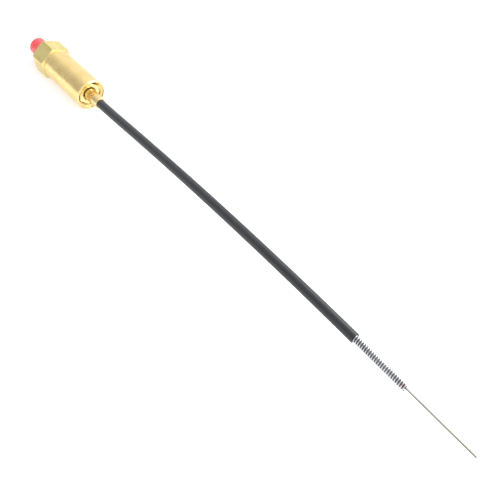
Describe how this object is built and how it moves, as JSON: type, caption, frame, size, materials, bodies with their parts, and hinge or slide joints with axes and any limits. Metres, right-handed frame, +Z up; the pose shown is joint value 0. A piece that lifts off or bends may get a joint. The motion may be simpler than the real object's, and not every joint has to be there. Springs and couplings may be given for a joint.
{
  "type": "flame sensor probe",
  "caption": "Flame sensor probe: brass hexagon head with a threaded stub under a red cap, black sleeve stem, bright guard spring and a thin straight sensing wire.",
  "frame": {"origin": "centre of the hexagon rear seat face, on the axis of the head", "axes": "+X along the head axis from the rear stub to the sensing tip, +Z up, normal to the upper hexagon flat"},
  "size_m": [0.2948, 0.0184, 0.016],
  "materials": {
    "brass": "turned and lightly polished",
    "nut_brass": "polished",
    "ferrule_brass": "drawn tube",
    "terminal_brass": "plain",
    "seal_rubber": "moulded",
    "slip_plastic": "plain",
    "spring_steel": "plain",
    "liner_plastic": "plain",
    "white_insulator": "plain",
    "resin": "cast",
    "black_sleeve": "satin",
    "copper": "tinned strands",
    "red_insulation": "plain",
    "white_insulation": "plain",
    "stainless": "turned",
    "spring_wire": "bright drawn wire",
    "red_seal": "moulded",
    "sensor_alloy": "drawn, lightly oxidised",
    "sensor_filling": "compacted powder",
    "contact_plating": "plated",
    "red_vinyl": "dipped vinyl, slightly clear"
  },
  "bodies": {
    "head": {"head_body": "brass", "gland_nut": "nut_brass", "seal_ring": "seal_rubber", "thrust_washer": "slip_plastic", "spring_washer": "spring_steel", "housing_liner": "liner_plastic", "rear_bush": "white_insulator"},
    "stem": {"ferrule": "ferrule_brass", "contact_carrier": "white_insulator", "terminal": "terminal_brass", "earth_disc": "terminal_brass", "potting": "resin", "sheath": "black_sleeve", "centre_lead": "copper", "return_lead": "copper", "centre_lead_insulation": "red_insulation", "return_lead_insulation": "white_insulation", "transition_ferrule": "stainless", "guard_spring": "spring_wire", "tip_seal": "red_seal", "sensor_sheath": "sensor_alloy", "sensor_core": "sensor_filling"},
    "contact": {"contact_button": "contact_plating", "contact_spring": "spring_steel"},
    "cap": {"protective_cap": "red_vinyl"}
  },
  "joints": [
    {"name": "stem_swivel", "type": "hinge", "parent": "head", "child": "stem", "pos_m": [0, 0, 0], "axis": [1, 0, 0], "continuous": true},
    {"name": "contact_plunge", "type": "slide", "parent": "head", "child": "contact", "axis": [1, 0, 0], "range_m": [0, 0.001], "stiffness_N_per_m": 800, "springref_m": -0.0005, "deforming": ["contact_spring"]},
    {"name": "cap_pull", "type": "slide", "parent": "head", "child": "cap", "axis": [-1, 0, 0], "range_m": [0, 0.013]}
  ]
}
